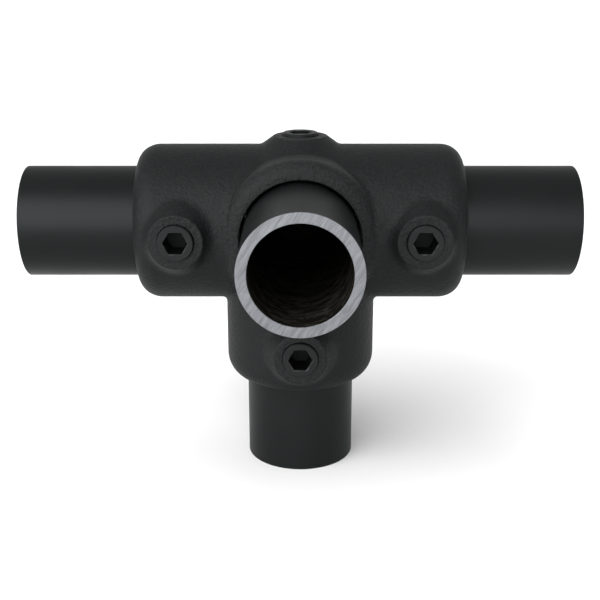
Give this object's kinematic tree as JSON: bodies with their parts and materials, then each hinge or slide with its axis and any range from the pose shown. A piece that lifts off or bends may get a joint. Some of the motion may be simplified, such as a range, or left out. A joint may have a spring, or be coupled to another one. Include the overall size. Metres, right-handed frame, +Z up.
{
  "type": "tube clamp cross fitting",
  "caption": "Cast cross clamp that joins a through tube with tubes to the left, to the right and below, each held by a hexagon socket set screw.",
  "frame": {"origin": "where the axes of the casting's sleeves and of all four tubes cross", "axes": "+X to the right along the horizontal sockets, +Y backwards along the through tube, +Z up"},
  "size_m": [0.1674, 0.118, 0.1052],
  "materials": {
    "casting": "black powder coat with a fine grain over a cast surface",
    "tube": "smooth satin black coat, bare brushed steel at the sawn ends",
    "set_screw": "smooth matt black coated steel"
  },
  "bodies": {
    "cross_body": {"cross_body": "casting"},
    "left_tube": {"left_tube": "tube"},
    "right_tube": {"right_tube": "tube"},
    "bottom_tube": {"bottom_tube": "tube"},
    "through_tube": {"through_tube": "tube"},
    "left_set_screw": {"left_set_screw": "set_screw"},
    "right_set_screw": {"right_set_screw": "set_screw"},
    "bottom_set_screw": {"bottom_set_screw": "set_screw"},
    "through_set_screw": {"through_set_screw": "set_screw"}
  },
  "joints": [
    {"name": "left_tube_slide", "type": "slide", "parent": "cross_body", "child": "left_tube", "axis": [-1, 0, 0], "range_m": [0, 0.029]},
    {"name": "right_tube_slide", "type": "slide", "parent": "cross_body", "child": "right_tube", "axis": [1, 0, 0], "range_m": [0, 0.029]},
    {"name": "bottom_tube_slide", "type": "slide", "parent": "cross_body", "child": "bottom_tube", "axis": [0, 0, -1], "range_m": [0, 0.029]},
    {"name": "through_tube_slide", "type": "slide", "parent": "cross_body", "child": "through_tube", "axis": [0, 1, 0], "range_m": [-0.03, 0.03]},
    {"name": "left_set_screw_travel", "type": "slide", "parent": "cross_body", "child": "left_set_screw", "axis": [0, -1, 0], "range_m": [0, 0.007]},
    {"name": "right_set_screw_travel", "type": "slide", "parent": "cross_body", "child": "right_set_screw", "axis": [0, -1, 0], "range_m": [0, 0.007]},
    {"name": "bottom_set_screw_travel", "type": "slide", "parent": "cross_body", "child": "bottom_set_screw", "axis": [0, -1, 0], "range_m": [0, 0.007]},
    {"name": "through_set_screw_travel", "type": "slide", "parent": "cross_body", "child": "through_set_screw", "axis": [0, 0, 1], "range_m": [0, 0.007]}
  ]
}
